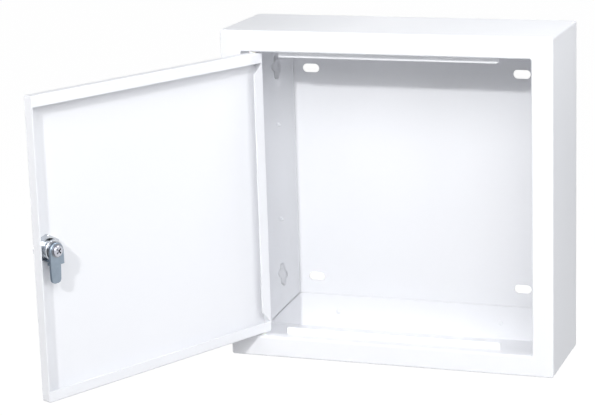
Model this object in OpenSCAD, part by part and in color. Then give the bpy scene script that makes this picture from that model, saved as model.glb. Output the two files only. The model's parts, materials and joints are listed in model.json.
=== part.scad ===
// Steel wall enclosure: folded casing, inset door on two hinge pins, and a cam lock.
// The origin is the centre of the four wall slots, in the plane of the wall.
// X runs to the right, Y into the wall and Z up.

/* [Casing] */
// Width of the casing
body_w = 300; // [240:10:600]
// Height of the casing
body_h = 300; // [240:10:600]
// Depth from the wall to the face of the casing
body_d = 100; // [60:5:250]
// Thickness of every sheet
sheet_t = 1.2; // [0.8:0.1:1.5]
// Outer radius of the four corners of the casing
corner_r = 2; // [2:0.5:6]
// Outer radius of every fold
fold_r = 1.6; // [1.6:0.1:1.75]
// Width of the border around the doorway
border_w = 19; // [16:1:30]
// Depth of the lip folded in around the doorway
lip_d = 10.5; // [9:0.5:12]
// Width of the flange folded in at the back
flange_w = 33; // [26:1:45]

/* [Back] */
// Distance between the centres of the wall slots, across and up
slot_pitch = 200; // [150:10:200]
// Length of a wall slot
slot_l = 16; // [10:1:24]
// Width of a wall slot
slot_w = 8; // [5:0.5:10]
// Diameter of the round middle of a double keyhole
keyhole_d = 10; // [8:0.5:12]
// Width of the two narrow ends of a double keyhole
keyhole_slot = 4.8; // [4:0.2:6]
// Height of a double keyhole
keyhole_h = 22; // [18:1:26]

/* [Door] */
// Angle at which the door stands open
door_open = 115; // [0:1:117]
// Gap between the door and the sides of the doorway
side_gap = 1.5; // [1.2:0.1:2]
// Gap above and below the door, where the hinge washers sit
end_gap = 2; // [1.6:0.2:3]
// Depth of the door's folded edge
door_d = 10; // [8:0.5:10.5]
// Width of the return lip along the top and bottom of the door
door_lip = 9.5; // [6:0.5:12]
// Width of the return lip along the hinge edge of the door
hinge_lip = 11; // [6:0.5:14]

/* [Hinge] */
// Diameter of a hinge pin
pin_d = 5; // [4:0.5:5]
// Distance from the hinge edge of the door to the pin
pin_inset = 8; // [7:0.1:8.5]
// Length of a pin past the door's edge
pin_reach = 5; // [3:0.5:8]

/* [Lock] */
// Distance from the latch edge of the door to the middle of the lock
lock_inset = 12.4; // [12.4:0.1:18]
// Diameter of the lock's threaded barrel
barrel_d = 18; // [18:0.2:19]
// Distance across the two flats of the barrel
barrel_flats = 16; // [15:0.5:17]
// Distance across the flats of the lock nut
nut_flats = 21; // [20.5:0.5:21.5]
// Distance from the middle of the lock to the tip of the latch arm
cam_reach = 27.8; // [24:0.2:30]
// Width of the latch arm at its tip
cam_tip_w = 9.4; // [8:0.2:11]
// Width of the latch arm where it leaves its step
cam_root_w = 10.6; // [10:0.2:13]

/* [Hidden] */
$fn = 48;

coat = [0.95, 0.95, 0.96];
zinc = [0.72, 0.74, 0.78];
steel = [0.62, 0.64, 0.66];
nylon = [0.92, 0.92, 0.90];

// Clearances
run_play = 0.05;
seat_play = 0.1;
seam = 0.9;
relief = 0.4;
past = 1;

// Sheet
fold_in = fold_r - sheet_t;
half_w = body_w / 2;
half_h = body_h / 2;
way_x = half_w - border_w;
way_y = half_h - border_w;

// Back panel and rear flange
panel_edge = 2;
panel_r = corner_r - panel_edge / 2;
mark_up = 91;
mark_across = 158;
mark_d = 4.6;
mark_top_d = 3;
mark_h = 0.7;
back_gap = 0.8;
flange_z = sheet_t + back_gap;

// Stop strips
strip_l = slot_pitch;
strip_gap = 1.5;
strip_behind = lip_d + strip_gap;
strip_from = 3;
strip_stand = 6.5;
strip_r = 2;

// Door, measured from the hinge pin
door_w = 2 * way_x - 2 * side_gap;
door_h = 2 * way_y - 2 * end_gap;
pin_rise = 0.6;
pin_depth = pin_rise * (pin_inset + side_gap);
hinge_x = -way_x + side_gap + pin_inset;
door_left = -pin_inset;
door_right = door_w - pin_inset;
door_top = door_h / 2;
door_r = 2.4;

// Hinge
pin_head_d = pin_d + 1.6;
pin_head_t = 1.6;
pin_tip = 0.6;
washer_d = 6.8;

// Lock, measured inward from the outer face of the door
lock_x = door_right - lock_inset;
bezel_d = 22;
bezel_t = 2.4;
bezel_edge = 0.8;
barrel_end = 12.2;
thread_pitch = 1;
thread_deep = 0.35;
thread_from = 1.5;
neck_d = barrel_d - 2 * thread_deep;
neck_edge = 0.5;
bore_d = 12.1;
plug_d = bore_d - 2 * run_play;
plug_head_d = 14;
plug_head_t = 1.5;
plug_recess = 0.2;
square = 7;
key_w = 2;
key_h = 7;
key_end = 9.6;
wafer_n = 5;
wafer_t = 1;
wafer_pitch = 1.7;
wafer_w = 8;
wafer_from = 1.1;
washer_t = 0.6;
washer_rim = 0.3;
lock_washer_d = nut_flats + 2 * washer_rim;
nut_t = 4.5;
nut_end = sheet_t + washer_t + nut_t;
nut_edge = 0.7;
stop_t = 1.2;
stop_from = barrel_end + run_play;
stop_d = 14.4;
tab_in = 6.2;
tab_out = 7.5;
tab_half = 18;
tab_slack = 3;
quarter = 90;
cam_t = 2.4;
hub_from = stop_from + stop_t;
hub_end = hub_from + cam_t;
hub_r = 6.8;
hub_edge = 0.4;
arm_gap = 0.5;
arm_from = lip_d + arm_gap;
arm_end = arm_from + cam_t;
step_y = 11.8;
cam_tip_r = 3.4;
screw_d = 4;
screw_end = 10.3;
screw_tap = 0.4;
screw_washer_d = 11;
screw_washer_t = 0.6;
screw_head_d = 9;
screw_head_t = 1.9;
head_from = hub_end + screw_washer_t;
cross_l = 5.4;
cross_w = 1.2;
cross_deep = 1.3;

// Turns a front view, drawn in X and Y with Z toward the viewer, into place
module face_on() {
    rotate([quarter, 0, 0])
        children();
}

// Places a piece drawn in the front view of the closed door on the open door
module on_door() {
    face_on()
        translate([hinge_x, 0, body_d - pin_depth])
            rotate([0, -door_open, 0])
                translate([0, 0, pin_depth])
                    children();
}

// Places a piece drawn inward from the door's outer face, with Y downward
module at_lock() {
    on_door()
        translate([lock_x, 0, 0])
            rotate([2 * quarter, 0, 0])
                children();
}

module up_and_down() {
    children();
    mirror([0, 1, 0])
        children();
}

module all_corners() {
    up_and_down() {
        children();
        mirror([1, 0, 0])
            children();
    }
}

module rod(d, from, to) {
    translate([0, 0, from])
        cylinder(d = d, h = to - from);
}

module rounded_plate(w, h, r) {
    square([w, h - 2 * r], center = true);
    square([w - 2 * r, h], center = true);
    for (x = [-1, 1])
        for (y = [-1, 1])
            translate([x * (w / 2 - r), y * (h / 2 - r)])
                circle(r = r);
}

module long_slot(l, w) {
    square([l - w, w], center = true);
    for (x = [-1, 1])
        translate([x * (l - w) / 2, 0])
            circle(d = w);
}

// Quarter ring of folded sheet, in the corner of +X and +Y
module fold() {
    intersection() {
        difference() {
            circle(r = fold_r);
            circle(r = fold_in);
        }
        square(fold_r);
    }
}

// Section of the casing from the corner's centre line out to the wall
module wall_section() {
    flat = corner_r - fold_r;
    translate([corner_r - sheet_t, flange_z + fold_r])
        square([sheet_t, body_d - flange_z - 2 * fold_r]);
    translate([0, body_d - sheet_t])
        square([flat, sheet_t]);
    translate([flat, body_d - fold_r])
        fold();
    translate([0, flange_z])
        square([flat, sheet_t]);
    translate([flat, flange_z + fold_r])
        mirror([0, 1])
            fold();
}

// One straight run of the wall, centred on X and facing +Y
module wall_run(l, reach) {
    translate([-l / 2, reach - corner_r, 0])
        rotate([quarter, 0, quarter])
            linear_extrude(l)
                wall_section();
}

module wall_wrap() {
    long_x = body_w - 2 * corner_r;
    long_y = body_h - 2 * corner_r;
    for (turn = [0, 2])
        rotate([0, 0, turn * quarter])
            wall_run(long_x, half_h);
    for (turn = [1, 3])
        rotate([0, 0, turn * quarter])
            wall_run(long_y, half_w);
    corner(0, 1, 1);
    corner(1, -1, 1);
    corner(2, -1, -1);
    corner(3, 1, -1);
}

module corner(turn, side_x, side_y) {
    translate([side_x * long_half(half_w), side_y * long_half(half_h), 0])
        rotate([0, 0, turn * quarter])
            rotate_extrude(angle = quarter)
                wall_section();
}

function long_half(half) = half - corner_r;

// Front border around the doorway, with room for the three folded lips
module border() {
    translate([0, 0, body_d - sheet_t])
        linear_extrude(sheet_t)
            difference() {
                square([2 * long_half(half_w), 2 * long_half(half_h)], center = true);
                square([2 * way_x, 2 * way_y], center = true);
                up_and_down()
                    translate([-way_x + relief, 0])
                        square([2 * way_x - 2 * relief, way_y + fold_r]);
                translate([0, -way_y + relief])
                    square([way_x + fold_r, 2 * way_y - 2 * relief]);
            }
}

// Section of a doorway lip, with X away from the doorway
module lip_section() {
    translate([0, body_d - lip_d])
        square([sheet_t, lip_d - fold_r]);
    translate([fold_r, body_d - fold_r])
        mirror([1, 0])
            fold();
}

module lips() {
    long_x = 2 * way_x - 2 * relief;
    long_y = 2 * way_y - 2 * relief;
    up_and_down()
        translate([-long_x / 2, way_y, 0])
            rotate([quarter, 0, quarter])
                linear_extrude(long_x)
                    lip_section();
    translate([way_x, long_y / 2, 0])
        rotate([quarter, 0, 0])
            linear_extrude(long_y)
                lip_section();
}

module rear_flange() {
    translate([0, 0, flange_z])
        linear_extrude(sheet_t)
            difference() {
                square([2 * long_half(half_w), 2 * long_half(half_h)], center = true);
                square([body_w - 2 * flange_w, body_h - 2 * flange_w], center = true);
                all_corners()
                    translate([long_half(half_w), long_half(half_h)])
                        rotate(quarter / 2)
                            translate([-2 * flange_w, -seam / 2])
                                square([2 * flange_w, seam]);
            }
}

module keyholes() {
    all_corners()
        translate([half_w - flange_w / 2, slot_pitch / 2, 0]) {
            rod(keyhole_d, flange_z - past, flange_z + sheet_t + past);
            translate([0, 0, flange_z - past])
                linear_extrude(sheet_t + 2 * past)
                    rotate(quarter)
                        long_slot(keyhole_h, keyhole_slot);
        }
}

// Spot weld through the gap behind the rear flange, with a raised pip on its face
module weld_spot() {
    rod(mark_d, sheet_t, flange_z + sheet_t);
    translate([0, 0, flange_z + sheet_t])
        cylinder(d1 = mark_d, d2 = mark_top_d, h = mark_h);
}

module weld_places() {
    all_corners() {
        translate([half_w - flange_w / 2, mark_up / 2, 0])
            children();
        translate([mark_across / 2, half_h - flange_w / 2, 0])
            children();
    }
}

module pin_holes(d) {
    translate([hinge_x, half_h, body_d - pin_depth])
        rotate([quarter, 0, 0])
            cylinder(d = d, h = body_h);
}

// Casing folded from one sheet: walls, border, doorway lips and rear flange
module casing() {
    color(coat)
        face_on()
            difference() {
                union() {
                    wall_wrap();
                    border();
                    lips();
                    rear_flange();
                    weld_places()
                        weld_spot();
                }
                keyholes();
                intersection() {
                    pin_holes(pin_d + 2 * run_play);
                    translate([0, 0, body_d - lip_d / 2])
                        cube([body_w, 2 * way_y + 4 * sheet_t, lip_d], center = true);
                }
            }
}

module back_panel() {
    color(coat)
        face_on()
            linear_extrude(sheet_t)
                difference() {
                    rounded_plate(body_w - 2 * panel_edge, body_h - 2 * panel_edge, panel_r);
                    all_corners()
                        translate([slot_pitch / 2, slot_pitch / 2])
                            long_slot(slot_l, slot_w);
                }
}

// Angle strip under the lower doorway lip, in the front view
module stop_strip() {
    low = way_y + 2 * sheet_t;
    high = way_y - strip_stand;
    face = body_d - strip_behind;
    intersection() {
        translate([-strip_l / 2, 0, 0])
            rotate([quarter, 0, quarter])
                linear_extrude(strip_l) {
                    translate([-low, face + fold_in])
                        square([sheet_t, strip_behind - strip_from - fold_in]);
                    translate([-low + fold_r, face - sheet_t])
                        square([low - high - fold_r, sheet_t]);
                    translate([-low + fold_r, face + fold_in])
                        rotate(2 * quarter)
                            fold();
                }
        translate([0, -(low + high) / 2, 0])
            linear_extrude(body_d)
                union() {
                    rounded_plate(strip_l, low - high, strip_r);
                    translate([-strip_l / 2, -(low - high) / 2])
                        square([strip_l, (low - high) / 2]);
                }
    }
}

module stop_strip_bottom() {
    color(coat)
        face_on()
            stop_strip();
}

module stop_strip_top() {
    color(coat)
        face_on()
            mirror([0, 1, 0])
                stop_strip();
}

// Pin with its head under the lower lip, drawn upward along Z from the lip's face
module hinge_pin() {
    top = end_gap + sheet_t + pin_reach;
    rod(pin_head_d, -sheet_t - pin_head_t, -sheet_t);
    rod(pin_d, -sheet_t - pin_head_t / 2, top - pin_tip);
    translate([0, 0, top - pin_tip])
        cylinder(d1 = pin_d, d2 = pin_d - 2 * pin_tip, h = pin_tip);
}

module hinge_washer() {
    difference() {
        rod(washer_d, 0, end_gap - run_play);
        rod(pin_d + 2 * seat_play, -past, end_gap + past);
    }
}

module at_hinge(y) {
    translate([hinge_x, -body_d + pin_depth, y])
        children();
}

module hinge_pin_bottom() {
    color(steel)
        at_hinge(-way_y)
            hinge_pin();
}

module hinge_pin_top() {
    color(steel)
        at_hinge(way_y)
            rotate([2 * quarter, 0, 0])
                hinge_pin();
}

module hinge_washer_bottom() {
    color(nylon)
        at_hinge(-way_y)
            hinge_washer();
}

module hinge_washer_top() {
    color(nylon)
        at_hinge(door_top)
            hinge_washer();
}

// Box of the door with its edges folded and its corners rounded, shrunk by a wall all round
module door_block(wall) {
    r = fold_r - wall;
    low = door_left + wall;
    high = door_right - wall;
    top = door_top - wall;
    deep = door_d - wall;
    intersection() {
        translate([0, top, 0])
            rotate([quarter, 0, 0])
                linear_extrude(2 * top) {
                    fold_rect(low, high, -deep, -wall, r);
                    translate([high - fold_r, -deep])
                        square(fold_r);
                }
        translate([low, 0, 0])
            rotate([quarter, 0, quarter])
                linear_extrude(high - low)
                    fold_rect(-top, top, -deep, -wall, r);
        translate([0, 0, -door_d])
            linear_extrude(door_d)
                fold_rect(low, high, -top, top, door_r - wall);
    }
}

module fold_rect(x0, x1, y0, y1, r) {
    translate([x0 + r, y0])
        square([x1 - x0 - 2 * r, y1 - y0]);
    translate([x0, y0 + r])
        square([x1 - x0, y1 - y0 - 2 * r]);
    for (x = [x0 + r, x1 - r])
        for (y = [y0 + r, y1 - r])
            translate([x, y])
                circle(r = r);
}

// Opening between the return lips, with a slanted end on the hinge lip
module door_mouth() {
    in_x = door_left + hinge_lip;
    in_y = door_top - door_lip;
    edge_x = door_right - sheet_t;
    translate([0, 0, -door_d - past])
        linear_extrude(fold_r + past) {
            translate([in_x, -in_y])
                square([edge_x - in_x, 2 * in_y]);
            up_and_down()
                polygon([
                    [in_x, in_y],
                    [door_left + sheet_t, in_y],
                    [in_x, in_y - hinge_lip + sheet_t]
                ]);
        }
}

// Shallow folded door pan, drawn from the hinge pin with its outer face at Z = 0
module door_pan() {
    difference() {
        door_block(0);
        door_block(sheet_t);
        door_mouth();
        translate([0, door_top + past, -pin_depth])
            rotate([quarter, 0, 0])
                cylinder(d = pin_d + 2 * run_play, h = 2 * door_top + 2 * past);
        translate([lock_x, 0, 0])
            two_flats(barrel_d + 2 * seat_play, barrel_flats + 2 * seat_play, -door_d / 2, past);
    }
}

module door() {
    color(coat)
        on_door()
            door_pan();
}

// Round bar with a flat above and below
module two_flats(d, flats, from, to) {
    intersection() {
        rod(d, from, to);
        translate([-d, -flats / 2, from - past])
            cube([2 * d, flats, to - from + 2 * past]);
    }
}

// Part of a ring between two angles, measured from +X toward +Y
module ring_part(inner, outer, a0, a1, from, to) {
    translate([0, 0, from])
        rotate([0, 0, a0])
            rotate_extrude(angle = a1 - a0)
                translate([inner, 0])
                    square([outer - inner, to - from]);
}

module thread_groove(z) {
    translate([0, 0, z])
        rotate_extrude()
            polygon([
                [barrel_d / 2 - thread_deep, 0],
                [barrel_d / 2 + past, thread_deep + past],
                [barrel_d / 2 + past, -thread_deep - past]
            ]);
}

// Bevelled end of the plain neck, past the thread
module lock_neck_end() {
    intersection() {
        translate([0, 0, barrel_end - neck_edge])
            cylinder(d1 = neck_d, d2 = neck_d - 2 * neck_edge, h = neck_edge);
        two_flats(neck_d, barrel_flats, barrel_end - 2 * neck_edge, barrel_end + past);
    }
}

module lock_body() {
    color(zinc)
        at_lock()
            difference() {
                union() {
                    two_flats(barrel_d, barrel_flats, -bezel_t / 2, nut_end + thread_pitch);
                    two_flats(neck_d, barrel_flats, nut_end, barrel_end - neck_edge);
                    lock_neck_end();
                    rod(bezel_d, -bezel_t + bezel_edge, 0);
                    translate([0, 0, -bezel_t])
                        cylinder(d1 = bezel_d - 2 * bezel_edge, d2 = bezel_d, h = bezel_edge);
                }
                for (z = [thread_from : thread_pitch : nut_end + thread_pitch / 2])
                    thread_groove(z);
                rod(bore_d, -bezel_t - past, barrel_end + past);
                rod(plug_head_d + 2 * run_play, -bezel_t - past, -bezel_t + plug_recess + plug_head_t + seat_play);
                translate([-wafer_w / 4, -barrel_flats / 2 + past, 0])
                    cube([wafer_w / 2, barrel_flats - 2 * past, wafer_from + wafer_n * wafer_pitch]);
                ring_part(
                    plug_d / 2 - run_play,
                    tab_out + seat_play,
                    -tab_half - tab_slack,
                    quarter + tab_half + tab_slack,
                    barrel_end - stop_t,
                    barrel_end + past
                );
            }
}

module lock_washer() {
    color(zinc)
        at_lock()
            difference() {
                rod(lock_washer_d, sheet_t, sheet_t + washer_t);
                rod(barrel_d + 2 * seat_play, 0, sheet_t + washer_t + past);
            }
}

// Round stock with both ends bevelled
module bevelled(d, edge, from, to) {
    translate([0, 0, from])
        cylinder(d1 = d - 2 * edge, d2 = d, h = edge);
    rod(d, from + edge, to - edge);
    translate([0, 0, to - edge])
        cylinder(d1 = d, d2 = d - 2 * edge, h = edge);
}

module lock_nut() {
    from = sheet_t + washer_t;
    sides = 6;
    corners = nut_flats / cos(quarter * 2 / sides);
    color(zinc)
        at_lock()
            difference() {
                intersection() {
                    translate([0, 0, from])
                        rotate([0, 0, quarter / 3])
                            cylinder(d = corners, h = nut_t, $fn = sides);
                    bevelled(corners, nut_edge, from, nut_end);
                }
                rod(barrel_d + 2 * run_play, 0, nut_end + past);
            }
}

module lock_plug() {
    head_face = -bezel_t + plug_recess;
    square_end = hub_end - seat_play;
    color(zinc)
        at_lock()
            difference() {
                union() {
                    rod(plug_head_d, head_face, head_face + plug_head_t);
                    rod(plug_d, head_face + plug_head_t / 2, stop_from - run_play);
                    translate([-square / 2, -square / 2, barrel_end / 2])
                        cube([square, square, square_end - barrel_end / 2]);
                }
                rod(screw_d + 2 * run_play, screw_end - screw_tap, square_end + past);
                translate([-key_w / 2, -key_h / 2, head_face - past])
                    cube([key_w, key_h, key_end - head_face + past]);
                for (n = [0 : wafer_n - 1])
                    translate([-wafer_w / 2 - seat_play, -bore_d / 2, wafer_from + n * wafer_pitch - seat_play / 2])
                        cube([wafer_w + 2 * seat_play, bore_d, wafer_t + seat_play]);
            }
}

// Sprung plates across the plug, each with a window for the key
module lock_wafers() {
    color(steel)
        at_lock()
            for (n = [0 : wafer_n - 1])
                translate([0, 0, wafer_from + n * wafer_pitch])
                    difference() {
                        intersection() {
                            rod(plug_d - 2 * seat_play, 0, wafer_t);
                            translate([-wafer_w / 2, -bore_d / 2, -past])
                                cube([wafer_w, bore_d, wafer_t + 2 * past]);
                        }
                        translate([-key_h / 4, -key_h / 2 - seat_play, -past])
                            cube([key_h / 2, key_h + 2 * seat_play, wafer_t + 2 * past]);
                    }
}

module square_hole(from, to) {
    side = square + 2 * run_play;
    translate([-side / 2, -side / 2, from - past])
        cube([side, side, to - from + 2 * past]);
}

// Washer with a tab that runs in the recess at the end of the barrel
module cam_stop() {
    color(steel)
        at_lock()
            difference() {
                union() {
                    rod(stop_d, stop_from, stop_from + stop_t);
                    ring_part(
                        tab_in,
                        tab_out,
                        quarter - tab_half,
                        quarter + tab_half,
                        barrel_end - stop_t + seat_play,
                        stop_from + stop_t / 2
                    );
                }
                square_hole(stop_from, stop_from + stop_t);
            }
}

// Latch arm: round hub plate, a step toward the door, and a tapered arm
module lock_cam() {
    tip_y = cam_reach - cam_tip_r;
    color(zinc)
        at_lock()
            difference() {
                union() {
                    bevelled(2 * hub_r, hub_edge, hub_from, hub_end);
                    translate([-hub_r, 0, hub_from])
                        cube([2 * hub_r, step_y, cam_t]);
                    translate([-hub_r, step_y - cam_t, arm_from])
                        cube([2 * hub_r, cam_t, hub_end - arm_from]);
                    translate([0, 0, arm_from])
                        linear_extrude(cam_t) {
                            polygon([
                                [-cam_root_w / 2, step_y - cam_t],
                                [cam_root_w / 2, step_y - cam_t],
                                [cam_tip_w / 2, tip_y],
                                [-cam_tip_w / 2, tip_y]
                            ]);
                            translate([0, tip_y])
                                long_slot(cam_tip_w, 2 * cam_tip_r);
                        }
                }
                square_hole(hub_from, hub_end);
            }
}

module cam_washer() {
    color(steel)
        at_lock()
            difference() {
                rod(screw_washer_d, hub_end, head_from);
                rod(screw_d + 2 * seat_play, hub_from, head_from + past);
            }
}

module cam_screw() {
    color(steel)
        at_lock()
            difference() {
                union() {
                    rod(screw_d, screw_end, head_from + screw_head_t / 2);
                    bevelled(screw_head_d, screw_head_t / 4, head_from, head_from + screw_head_t);
                }
                for (turn = [0, 1])
                    rotate([0, 0, quarter / 2 + turn * quarter])
                        translate([-cross_l / 2, -cross_w / 2, head_from + screw_head_t - cross_deep])
                            cube([cross_l, cross_w, cross_deep + past]);
            }
}

casing();
back_panel();
stop_strip_top();
stop_strip_bottom();
hinge_pin_top();
hinge_pin_bottom();
hinge_washer_bottom();
hinge_washer_top();
door();
lock_body();
lock_washer();
lock_nut();
lock_plug();
lock_wafers();
cam_stop();
lock_cam();
cam_washer();
cam_screw();
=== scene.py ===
"""Steel wall enclosure: finishes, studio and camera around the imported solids."""

import json
import math

import bpy
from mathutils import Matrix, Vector

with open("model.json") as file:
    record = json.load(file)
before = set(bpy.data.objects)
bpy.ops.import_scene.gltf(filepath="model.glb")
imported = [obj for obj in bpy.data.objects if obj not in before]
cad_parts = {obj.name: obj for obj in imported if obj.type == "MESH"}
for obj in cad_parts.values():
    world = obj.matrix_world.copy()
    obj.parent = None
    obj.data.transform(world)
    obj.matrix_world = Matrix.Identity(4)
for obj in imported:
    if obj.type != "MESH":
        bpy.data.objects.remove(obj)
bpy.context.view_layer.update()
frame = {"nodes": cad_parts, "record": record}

WHITE = (1.0, 1.0, 1.0, 1.0)

# Colours of the finishes: the two that cloud into each other, then the scuffs
POWDER_WHITE = (0.875, 0.882, 0.905, 1.0)
POWDER_CLOUD = (0.868, 0.876, 0.900, 1.0)
POWDER_DEEP = (0.835, 0.845, 0.872, 1.0)
ZINC_BRIGHT = (0.66, 0.68, 0.71, 1.0)
ZINC_DULL = (0.57, 0.60, 0.64, 1.0)
ZINC_WORN = (0.36, 0.38, 0.42, 1.0)
STEEL_BRIGHT = (0.60, 0.61, 0.67, 1.0)
STEEL_DULL = (0.50, 0.51, 0.57, 1.0)
STEEL_WORN = (0.36, 0.36, 0.40, 1.0)
SPRING_DARK = (0.26, 0.265, 0.28, 1.0)
SPRING_GREY = (0.33, 0.335, 0.35, 1.0)
SPRING_WORN = (0.40, 0.41, 0.43, 1.0)
PASSIVATED_BLUE = (0.29, 0.345, 0.41, 1.0)
PASSIVATED_GREY = (0.25, 0.30, 0.355, 1.0)
PASSIVATED_WORN = (0.40, 0.44, 0.49, 1.0)
NYLON_PALE = (0.86, 0.86, 0.83, 1.0)
NYLON_WARM = (0.80, 0.79, 0.74, 1.0)
NYLON_WORN = (0.74, 0.73, 0.68, 1.0)

# Noise that the node groups are made of: detail, roughness
PEEL_NOISE = (2.0, 0.5)
GRAIN_NOISE = (3.0, 0.6)
CLOUD_NOISE = (4.0, 0.55)
SCUFF_NOISE = (5.0, 0.7)
# Parts of the noise's range that the clouds and the scuffs take up, and the part of the
# occlusion range that the painted shade in hollows takes up
CLOUD_RANGE = (0.3, 0.7)
SCUFF_RANGE = (0.56, 0.72)
PAINTED_SHADE_RANGE = (0.45, 0.9)

# Studio, in metres and watts
SKY_COLOUR = (0.93, 0.95, 1.0, 1.0)
SKY_STRENGTH = 0.02
FLOOR_Z = -0.50
FLOOR_HALF = 6.0
PAPER_COLOUR = (0.62, 0.62, 0.63, 1.0)
PAPER_ROUGHNESS = 0.9
GLOW_STRENGTH = 1.13
GLOW_SHARE = 0.87
# Name, azimuth and elevation in degrees, distance, width and height, power, colour
LAMPS = (
    ("key", -1.6, 26.4, 3.07, (0.11, 0.11), 33.8, (1.0, 1.0, 1.0)),
    ("fill_front", 24, 32, 1.6, (1.0, 0.75), 11.7, (0.985, 0.99, 1.0)),
    ("fill_left", -24, 32, 1.6, (0.8, 0.6), 2.6, (0.985, 0.985, 1.0)),
    ("left_side", -82, 3, 1.6, (0.8, 0.5), 6.0, (0.985, 0.985, 1.0)),
    ("fill_right", 61, 10, 1.15, (0.45, 0.45), 3.6, (0.96, 0.975, 1.0)),
    ("top_right", 90, 65, 1.15, (0.5, 0.5), 4.8, (0.94, 0.96, 1.0)),
    ("back_fill", 186, 4, 1.6, (1.0, 0.6), 5.0, (0.98, 0.99, 1.0)),
)

# Camera, in millimetres for the lens, metres for the place and degrees for the turn
SENSOR_WIDTH = 36.0
LENS = 122.042
SHIFT = (-0.0546, -0.0134)
CLIP = (0.05, 50.0)
CAMERA_PLACE = (0.51141, -1.74316, 0.41704)
CAMERA_TURN = (76.4912, 1.5389, 18.5275)


# Small helpers for node trees


def feed(tree, socket, value):
    """Link a socket to another node's output, or set it to a plain value."""
    if isinstance(value, bpy.types.NodeSocket):
        tree.links.new(value, socket)
    else:
        socket.default_value = value


def math_node(tree, operation, a, b, clamp=False):
    node = tree.nodes.new("ShaderNodeMath")
    node.operation = operation
    node.use_clamp = clamp
    feed(tree, node.inputs[0], a)
    feed(tree, node.inputs[1], b)
    return node.outputs[0]


def vector_node(tree, operation, vector, other, socket):
    node = tree.nodes.new("ShaderNodeVectorMath")
    node.operation = operation
    feed(tree, node.inputs[0], vector)
    feed(tree, node.inputs[socket], other)
    return node.outputs[0]


def noise_node(tree, vector, scale, noise):
    node = tree.nodes.new("ShaderNodeTexNoise")
    node.inputs["Detail"].default_value, node.inputs["Roughness"].default_value = noise
    feed(tree, node.inputs["Scale"], scale)
    feed(tree, node.inputs["Vector"], vector)
    return node.outputs["Fac"]


def map_range(tree, value, from_range, to_range):
    node = tree.nodes.new("ShaderNodeMapRange")
    feed(tree, node.inputs["Value"], value)
    labels = ("From Min", "From Max", "To Min", "To Max")
    for label, number in zip(labels, (*from_range, *to_range)):
        feed(tree, node.inputs[label], number)
    return node.outputs["Result"]


def colour_mix(tree, mask, low, high):
    mix = tree.nodes.new("ShaderNodeMix")
    mix.data_type = "RGBA"
    feed(tree, mix.inputs["Factor"], mask)
    feed(tree, mix.inputs["A"], low)
    feed(tree, mix.inputs["B"], high)
    return mix.outputs["Result"]


def shader_mix(tree, share, first, second):
    mix = tree.nodes.new("ShaderNodeMixShader")
    feed(tree, mix.inputs["Fac"], share)
    tree.links.new(first.outputs[0], mix.inputs[1])
    tree.links.new(second.outputs[0], mix.inputs[2])
    return mix.outputs[0]


def new_material(name):
    material = bpy.data.materials.new(name)
    material.use_nodes = True
    tree = material.node_tree
    return material, tree, tree.nodes["Principled BSDF"]


# Node groups shared by the finishes


def new_group(name, inputs, outputs):
    group = bpy.data.node_groups.new(name, "ShaderNodeTree")
    for label, kind, value in inputs:
        socket = group.interface.new_socket(label, in_out="INPUT", socket_type=kind)
        socket.default_value = value
    for label in outputs:
        group.interface.new_socket(label, in_out="OUTPUT", socket_type="NodeSocketFloat")
    start = group.nodes.new("NodeGroupInput")
    end = group.nodes.new("NodeGroupOutput")
    place = group.nodes.new("ShaderNodeTexCoord").outputs["Object"]
    return group, start.outputs, end.inputs, place


def surface_grain():
    """Orange peel and fine grain: a height for bump, and a mask for colour and gloss."""
    group, given, result, place = new_group(
        "surface_grain",
        [
            ("Peel Scale", "NodeSocketFloat", 900.0),
            ("Grain Scale", "NodeSocketFloat", 4000.0),
            ("Cloud Scale", "NodeSocketFloat", 14.0),
            ("Grain Share", "NodeSocketFloat", 0.3),
        ],
        ["Height", "Clouds"],
    )
    peel = noise_node(group, place, given["Peel Scale"], PEEL_NOISE)
    grain = noise_node(group, place, given["Grain Scale"], GRAIN_NOISE)
    clouds = noise_node(group, place, given["Cloud Scale"], CLOUD_NOISE)
    share = math_node(group, "MULTIPLY", grain, given["Grain Share"])
    feed(group, result["Height"], math_node(group, "ADD", peel, share))
    feed(group, result["Clouds"], map_range(group, clouds, CLOUD_RANGE, (0.0, 1.0)))
    return group


def fine_scuffs():
    """Thin stretched marks left by handling and tooling."""
    group, given, result, place = new_group(
        "fine_scuffs",
        [
            ("Scale", "NodeSocketFloat", 60.0),
            ("Stretch", "NodeSocketVector", (1.0, 1.0, 12.0)),
            ("Amount", "NodeSocketFloat", 0.2),
        ],
        ["Mask"],
    )
    stretched = vector_node(group, "MULTIPLY", place, given["Stretch"], 1)
    marks = noise_node(group, stretched, given["Scale"], SCUFF_NOISE)
    thin = map_range(group, marks, SCUFF_RANGE, (0.0, 1.0))
    feed(group, result["Mask"], math_node(group, "MULTIPLY", thin, given["Amount"], clamp=True))
    return group


GRAIN = surface_grain()
SCUFFS = fine_scuffs()


# Finishes


def place_group(tree, group, values):
    node = tree.nodes.new("ShaderNodeGroup")
    node.node_tree = group
    for label, value in values.items():
        node.inputs[label].default_value = value
    return node.outputs


def paint_shade_in_hollows(tree, base, reach, shade):
    """Painted shade: darker base colour in small hollows, such as a screw's cross or the root
    of a thread.
    """
    hollow = tree.nodes.new("ShaderNodeAmbientOcclusion")
    hollow.only_local = True
    hollow.inputs["Distance"].default_value = reach
    open_share = map_range(tree, hollow.outputs["AO"], PAINTED_SHADE_RANGE, (shade, 1.0))
    return vector_node(tree, "SCALE", base, open_share, "Scale")


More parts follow.
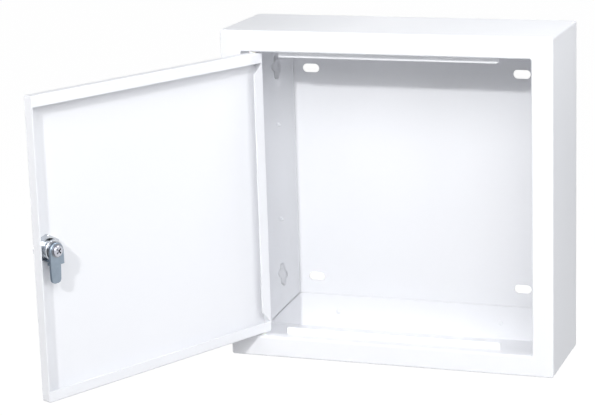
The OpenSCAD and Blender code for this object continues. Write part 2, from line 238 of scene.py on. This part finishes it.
def finish_material(name, colours, gloss, grain, bump, scuffs, fixed, hollows=None):
    """One finish: clouded colour, grain and scuffs in the gloss, and fine bump.

    gloss holds the roughness at both ends of the clouds and what a scuff adds to it.
    bump holds its strength and its depth in metres.
    hollows holds how far in metres a hollow is felt and the share of colour left in it as
    painted shade.
    """
    material, tree, shader = new_material(name)
    for label, value in fixed.items():
        shader.inputs[label].default_value = value
    grained = place_group(tree, GRAIN, grain)
    scuffed = place_group(tree, SCUFFS, scuffs)["Mask"]

    bright, dull, worn = colours
    base = colour_mix(tree, grained["Clouds"], bright, dull)
    base = colour_mix(tree, scuffed, base, worn)
    # Painted shade: the base colour is darkened where occlusion finds a small hollow
    if hollows:
        base = paint_shade_in_hollows(tree, base, *hollows)
    feed(tree, shader.inputs["Base Color"], base)

    smooth, rough, scuff_rough = gloss
    clouded = map_range(tree, grained["Clouds"], (0.0, 1.0), (smooth, rough))
    added = math_node(tree, "MULTIPLY", scuffed, scuff_rough)
    roughness = math_node(tree, "ADD", clouded, added, clamp=True)
    feed(tree, shader.inputs["Roughness"], roughness)

    bumps = tree.nodes.new("ShaderNodeBump")
    bumps.inputs["Strength"].default_value, bumps.inputs["Distance"].default_value = bump
    feed(tree, bumps.inputs["Height"], grained["Height"])
    feed(tree, shader.inputs["Normal"], bumps.outputs["Normal"])
    return material


def grain_scales(peel, grain, cloud, share):
    return {
        "Peel Scale": peel,
        "Grain Scale": grain,
        "Cloud Scale": cloud,
        "Grain Share": share,
    }


FINISHES = {
    "powder_coat": finish_material(
        "powder_coat",
        colours=(POWDER_WHITE, POWDER_CLOUD, POWDER_DEEP),
        gloss=(0.42, 0.50, 0.12),
        grain=grain_scales(700.0, 2600.0, 9.0, 0.25),
        bump=(0.22, 0.00012),
        scuffs={"Scale": 30.0, "Amount": 0.10},
        fixed={"Metallic": 0.0, "Specular IOR Level": 0.35},
    ),
    "zinc": finish_material(
        "zinc",
        colours=(ZINC_BRIGHT, ZINC_DULL, ZINC_WORN),
        gloss=(0.17, 0.24, 0.12),
        grain=grain_scales(1200.0, 5200.0, 120.0, 0.5),
        bump=(0.10, 0.00004),
        scuffs={"Scale": 220.0, "Stretch": (1.0, 1.0, 5.0), "Amount": 0.25},
        fixed={"Metallic": 1.0},
        # Painted shade in the zinc's hollows
        hollows=(0.0015, 0.30),
    ),
    "bright_steel": finish_material(
        "bright_steel",
        colours=(STEEL_BRIGHT, STEEL_DULL, STEEL_WORN),
        gloss=(0.16, 0.24, 0.14),
        grain=grain_scales(1600.0, 6400.0, 200.0, 0.6),
        bump=(0.12, 0.00004),
        scuffs={"Scale": 300.0, "Stretch": (6.0, 6.0, 1.0), "Amount": 0.3},
        fixed={"Metallic": 1.0},
        # Painted shade in the steel's hollows, such as the screw's cross
        hollows=(0.0014, 0.12),
    ),
    "dark_steel": finish_material(
        "dark_steel",
        colours=(SPRING_DARK, SPRING_GREY, SPRING_WORN),
        gloss=(0.30, 0.42, 0.15),
        grain=grain_scales(1600.0, 6400.0, 260.0, 0.6),
        bump=(0.20, 0.00005),
        scuffs={"Scale": 320.0, "Stretch": (6.0, 6.0, 1.0), "Amount": 0.3},
        fixed={"Metallic": 1.0},
    ),
    "blue_zinc": finish_material(
        "blue_zinc",
        colours=(PASSIVATED_BLUE, PASSIVATED_GREY, PASSIVATED_WORN),
        gloss=(0.34, 0.42, 0.12),
        grain=grain_scales(1400.0, 5600.0, 150.0, 0.5),
        bump=(0.16, 0.00004),
        scuffs={"Scale": 260.0, "Stretch": (1.0, 1.0, 5.0), "Amount": 0.25},
        fixed={"Metallic": 1.0},
    ),
    "nylon": finish_material(
        "nylon",
        colours=(NYLON_PALE, NYLON_WARM, NYLON_WORN),
        gloss=(0.45, 0.58, 0.10),
        grain=grain_scales(1400.0, 5000.0, 220.0, 0.3),
        bump=(0.20, 0.00008),
        scuffs={"Scale": 200.0, "Amount": 0.15},
        fixed={"Metallic": 0.0, "Subsurface Weight": 0.2, "Subsurface Scale": 0.002},
    ),
}
SLOT_OF = {row["node"]: row["material_slot"] for row in frame["record"]["subparts"]}

for node_name, node in frame["nodes"].items():
    for slot in node.material_slots:
        slot.material = FINISHES[SLOT_OF[node_name]]


# Studio


def show(obj):
    bpy.context.scene.collection.objects.link(obj)


def seen_in_glass_or_metal(tree):
    """One for rays from the camera, and for rays that metal or glass sends on."""
    path = tree.nodes.new("ShaderNodeLightPath").outputs
    mirrored = math_node(tree, "MAXIMUM", path["Is Glossy Ray"], path["Is Transmission Ray"])
    return math_node(tree, "MAXIMUM", path["Is Camera Ray"], mirrored)


def background(tree, colour, strength):
    node = tree.nodes.new("ShaderNodeBackground")
    node.inputs["Color"].default_value = colour
    node.inputs["Strength"].default_value = strength
    return node


def sky():
    """A faint sky that lights the box, with a white backdrop in front of the camera."""
    world = bpy.data.worlds.new("studio_sky")
    bpy.context.scene.world = world
    world.use_nodes = True
    tree = world.node_tree
    tree.nodes.clear()
    out = tree.nodes.new("ShaderNodeOutputWorld")
    ambient = background(tree, SKY_COLOUR, SKY_STRENGTH)
    backdrop = background(tree, WHITE, 1.0)
    mixed = shader_mix(tree, seen_in_glass_or_metal(tree), ambient, backdrop)
    feed(tree, out.inputs["Surface"], mixed)


def toward(azimuth, elevation):
    """Unit vector to a lamp, azimuth from straight in front to the right."""
    az, el = math.radians(azimuth), math.radians(elevation)
    return Vector(
        (math.sin(az) * math.cos(el), -math.cos(az) * math.cos(el), math.sin(el))
    )


def softbox(name, azimuth, elevation, distance, size, energy, colour):
    """Rectangular lamp that faces the origin, and that the camera doesn't see."""
    lamp = bpy.data.lights.new(name, "AREA")
    lamp.energy = energy
    lamp.color = colour
    lamp.shape = "RECTANGLE"
    lamp.size, lamp.size_y = size
    direction = toward(azimuth, elevation)
    obj = bpy.data.objects.new(name, lamp)
    obj.location = direction * distance
    obj.rotation_euler = direction.to_track_quat("Z", "Y").to_euler()
    obj.visible_camera = False
    show(obj)


def floor():
    """White paper that glows a little for the camera and still takes the box's shadow."""
    signs = ((-1, -1), (1, -1), (1, 1), (-1, 1))
    corners = [(x * FLOOR_HALF, y * FLOOR_HALF, FLOOR_Z) for x, y in signs]
    mesh = bpy.data.meshes.new("floor")
    mesh.from_pydata(corners, [], [(0, 1, 2, 3)])
    obj = bpy.data.objects.new("floor", mesh)
    show(obj)
    material, tree, paper = new_material("floor_paper")
    paper.inputs["Base Color"].default_value = PAPER_COLOUR
    paper.inputs["Roughness"].default_value = PAPER_ROUGHNESS
    glow = tree.nodes.new("ShaderNodeEmission")
    glow.inputs["Color"].default_value = WHITE
    glow.inputs["Strength"].default_value = GLOW_STRENGTH
    share = math_node(tree, "MULTIPLY", seen_in_glass_or_metal(tree), GLOW_SHARE)
    mixed = shader_mix(tree, share, paper, glow)
    feed(tree, tree.nodes["Material Output"].inputs["Surface"], mixed)
    mesh.materials.append(material)


sky()
for lamp_row in LAMPS:
    softbox(*lamp_row)
floor()


# Camera

camera_data = bpy.data.cameras.new("camera")
camera_data.sensor_width = SENSOR_WIDTH
camera_data.lens = LENS
camera_data.shift_x, camera_data.shift_y = SHIFT
camera_data.clip_start, camera_data.clip_end = CLIP
camera = bpy.data.objects.new("camera", camera_data)
camera.location = CAMERA_PLACE
camera.rotation_euler = [math.radians(angle) for angle in CAMERA_TURN]
show(camera)
bpy.context.scene.camera = camera
bpy.context.scene.view_settings.view_transform = "Standard"
